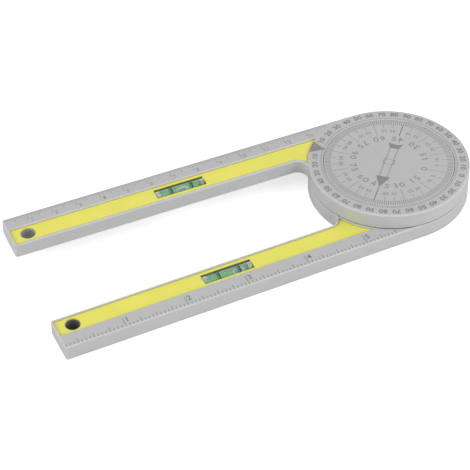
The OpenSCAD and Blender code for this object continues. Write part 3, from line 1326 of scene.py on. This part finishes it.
@dataclass(frozen=True)
class VialLines:
    """The black lines round a vial, a strong and a fine one on each side.

    Attributes:
        arm: The arm that carries the vial.
        middle_x: The middle between the two strong lines.
        apart: How far those are apart.
        radius: The radius of the lines' inner face, just clear of the tube.
        thick: Their thickness.
        rows: The width of each line, and how far it is from the strong one.
        corners: How many corners a line has on its way round.
        smooth: The angle up to which its facets are shaded as one, in degrees.
    """

    arm: Arm
    middle_x: float = -81.25
    apart: float = 8.6
    radius: float = 2.205
    thick: float = 0.02
    rows: tuple[Span, ...] = ((0.6, 0.0), (0.24, -0.85))
    corners: int = 64
    smooth: float = 40.0

    def band(self, width: float) -> Piece:
        """Models one line round the tube.

        Args:
            width: The line's width.

        Returns:
            The line, round the Z axis.
        """
        deselect_all()
        bpy.ops.mesh.primitive_cylinder_add(
            vertices=self.corners, radius=self.radius, depth=width, end_fill_type="NOTHING"
        )
        band = bpy.context.object
        select_mesh(band)
        bpy.ops.mesh.subdivide(number_cuts=1)
        bpy.ops.object.mode_set(mode="OBJECT")
        thicken_walls(band, self.thick, outward=True)
        return band

    def build(self, finishes: Finishes) -> Piece:
        """Builds the lines.

        Args:
            finishes: The tool's materials.

        Returns:
            The finished piece.
        """
        low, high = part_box(f"{self.arm.name}_vial_tube")
        axis_z = (low.z + high.z) / 2 / MM - self.arm.place.translation.z
        across = Matrix.Rotation(math.radians(90), 4, "Y")
        lines: list[Piece] = []
        for width, shift in self.rows:
            middles = [self.middle_x + side * self.apart / 2 + shift for side in (-1, 1)]
            places = [at(x, self.arm.outward * VIAL_Y, axis_z) @ across for x in middles]
            lines += stamp(self.band(width), places)
        piece = joined(f"{self.arm.name}_vial_lines", lines)
        bpy.ops.object.shade_smooth_by_angle(angle=math.radians(self.smooth))
        return settle(piece, self.arm.place, self.arm.body, finishes.black)


@dataclass(frozen=True)
class WindowShadowSheet:
    """A dark sheet round the inside of a vial's window, painted shadow.

    Attributes:
        arm: The arm that has the window.
        middle_x: The middle of the window along the arm.
        length: The length of the sheet.
        width: Its width.
        top_z: The height of its upper edge.
        deep: How far down it goes.
        thick: Its thickness.
    """

    arm: Arm
    middle_x: float = -81.8
    length: float = 20.66
    width: float = 4.86
    top_z: float = 5.9
    deep: float = 0.6
    thick: float = 0.12

    def build(self, finishes: Finishes) -> Piece:
        """Builds the sheet of painted shadow.

        Args:
            finishes: The tool's materials.

        Returns:
            The finished piece.
        """
        deselect_all()
        # A dark open box of painted shadow, which stands in for the shade in the window.
        bpy.ops.mesh.primitive_cube_add(size=1, location=(0, 0, 0))
        shadow_sheet = bpy.context.object
        shadow_sheet.scale = (self.length, self.width, self.deep)
        apply_place(shadow_sheet)
        for axis in (Vector((0, 0, 1)), Vector((0, 0, -1))):
            select_faces(shadow_sheet, axis)
            bpy.ops.mesh.delete(type="FACE")
            bpy.ops.object.mode_set(mode="OBJECT")
        thicken_walls(shadow_sheet, self.thick, outward=False)
        shadow_sheet.location = (self.middle_x, self.arm.outward * VIAL_Y, self.top_z - self.deep / 2)
        piece = joined(f"{self.arm.name}_window_rim", [shadow_sheet])
        return settle(piece, self.arm.place, self.arm.body, finishes.rim)


# Studio


@dataclass(frozen=True)
class Lamp:
    """A soft lamp that looks at the tool.

    Attributes:
        name: Its name.
        azimuth: The angle that it stands at round the tool, in degrees.
        height: Its angle over the floor, in degrees.
        watts: Its power.
        away: Its distance, in metres.
        size: Its width, in metres.
    """

    name: str
    azimuth: float
    height: float
    watts: float
    away: float = 1.1
    size: float = 0.8


@dataclass(frozen=True)
class Studio:
    """Pale floor, soft light and the camera.

    Attributes:
        aim: The point that camera and lamps look at, in metres.
        azimuth: The angle that the camera stands at round it, in degrees.
        elevation: The camera's angle over the floor, in degrees.
        roll: How far the camera is tilted to the side, in degrees.
        away: The camera's distance, in millimetres.
        lens: Its focal length, in millimetres.
        sensor: The width of its sensor, in millimetres.
        clip: The nearest and the farthest distance that it sees, in metres.
        lamps: The lamps.
        sky: The light that comes from all round.
        floor_size: The floor's width, in metres.
        floor_drop: How far the floor is under the tool, in metres.
        floor_grey: The floor's grey.
        floor_lift: How much lighter the eye sees it than its light makes it.
    """

    aim: Vector = field(default_factory=lambda: Vector((-67.808, 1.532, 0.0)) * MM)
    azimuth: float = -24.46
    elevation: float = 43.011
    roll: float = -1.257
    away: float = 738.03
    lens: float = 142.96
    sensor: float = 36.0
    clip: Span = (0.01, 20.0)
    lamps: tuple[Lamp, ...] = (
        Lamp("left", azimuth=-100.0, height=28.0, watts=5.1),
        Lamp("right", azimuth=50.0, height=32.0, watts=4.4),
        Lamp("front", azimuth=0.0, height=14.0, watts=2.3),
    )
    sky: float = 0.5
    floor_size: float = 8.0
    floor_drop: float = 0.00002
    floor_grey: float = 0.8
    floor_lift: float = 0.6

    @staticmethod
    def direction(azimuth: float, elevation: float) -> Vector:
        """Returns the direction from the tool to a place round it.

        Args:
            azimuth: The angle round the tool, in degrees from the front.
            elevation: The angle over the floor, in degrees.

        Returns:
            The direction, of length 1.
        """
        turn, rise = math.radians(azimuth), math.radians(elevation)
        return Vector((math.sin(turn) * math.cos(rise), -math.cos(turn) * math.cos(rise), math.sin(rise)))

    def camera(self) -> None:
        """Sets up the camera at the photograph's angle."""
        back = self.direction(self.azimuth, self.elevation)
        right = self.direction(self.azimuth + 90, 0.0)
        data = bpy.data.cameras.new("camera")
        data.lens, data.sensor_width = self.lens, self.sensor
        data.clip_start, data.clip_end = self.clip
        camera = bpy.data.objects.new("camera", data)
        bpy.context.scene.collection.objects.link(camera)
        level = Matrix((right, back.cross(right), back)).transposed().to_4x4()
        matrix = level @ Matrix.Rotation(math.radians(self.roll), 4, "Z")
        matrix.translation = self.aim + back * self.away * MM
        camera.matrix_world = matrix
        bpy.context.scene.camera = camera

    def floor(self) -> None:
        """Lays the pale floor, which keeps the tool's shadow."""
        deselect_all()
        bpy.ops.mesh.primitive_plane_add(size=self.floor_size, location=(0, 0, -self.floor_drop))
        floor = bpy.context.object
        floor.name = "floor"
        material = bpy.data.materials.new("pale_floor")
        material.use_nodes = True
        tree = material.node_tree
        tree.nodes.clear()
        output = tree.nodes.new("ShaderNodeOutputMaterial")
        matte = tree.nodes.new("ShaderNodeBsdfDiffuse")
        glow = tree.nodes.new("ShaderNodeEmission")
        both = tree.nodes.new("ShaderNodeAddShader")
        rays = tree.nodes.new("ShaderNodeLightPath").outputs
        seen = calculate(tree, "MAXIMUM", rays["Is Camera Ray"], rays["Is Transmission Ray"])
        feed(shade((self.floor_grey,) * 3), matte.inputs["Color"])
        feed(calculate(tree, "MULTIPLY", seen, self.floor_lift), glow.inputs["Strength"])
        feed(matte.outputs[0], both.inputs[0])
        feed(glow.outputs[0], both.inputs[1])
        feed(both.outputs[0], output.inputs["Surface"])
        floor.data.materials.append(material)

    def world(self) -> None:
        """Fills the room with soft light, which the eye and the gloss see as white."""
        world = bpy.data.worlds.new("room")
        bpy.context.scene.world = world
        world.use_nodes = True
        tree = world.node_tree
        background = tree.nodes["Background"]
        rays = tree.nodes.new("ShaderNodeLightPath").outputs
        seen = calculate(tree, "MAXIMUM", rays["Is Camera Ray"], rays["Is Glossy Ray"])
        strength = tree.nodes.new("ShaderNodeMapRange")
        strength.inputs["To Min"].default_value = self.sky
        strength.inputs["To Max"].default_value = 1.0
        feed((1.0, 1.0, 1.0, 1.0), background.inputs["Color"])
        feed(calculate(tree, "MAXIMUM", seen, rays["Is Transmission Ray"]), strength.inputs["Value"])
        feed(strength.outputs[0], background.inputs["Strength"])

    def light(self) -> None:
        """Hangs the lamps round the tool."""
        for lamp in self.lamps:
            data = bpy.data.lights.new(lamp.name, "AREA")
            data.shape = "DISK"
            data.size = lamp.size
            data.energy = lamp.watts
            holder = bpy.data.objects.new(lamp.name, data)
            bpy.context.scene.collection.objects.link(holder)
            way = self.direction(lamp.azimuth, lamp.height)
            holder.location = self.aim + way * lamp.away
            holder.rotation_euler = way.to_track_quat("Z", "Y").to_euler()

    def build(self) -> None:
        """Builds the whole studio."""
        self.camera()
        self.floor()
        self.world()
        self.light()
        bpy.context.scene.view_settings.view_transform = "Standard"


def main() -> None:
    """Dresses the CAD nodes, builds the marks and sets up the studio."""
    logging.basicConfig(level=logging.INFO, format="%(name)s: %(message)s")
    Studio().build()
    finishes = Finishes()
    finishes.dress()
    RuledScale(
        UPPER, zero=-152.75, step=1.0, last=139, lengths={10: 3.8, 5: 2.8, 1: 1.6},
        per_number=10, number_shift=1.3, number_y=27.9, number_height=2.0,
    ).build(finishes)
    RuledScale(
        LOWER, zero=-153.42, step=25.4 / 16, last=88, lengths={16: 4.8, 4: 2.4, 1: 1.4},
        per_number=16, number_shift=1.5, number_y=28.5, number_height=2.6,
    ).build(finishes)
    RingScale().build(finishes)
    DialScale().build(finishes)
    for trim in (VialLines, WindowShadowSheet):
        for arm in (LOWER, UPPER):
            trim(arm).build(finishes)


if __name__ == "__main__":
    main()
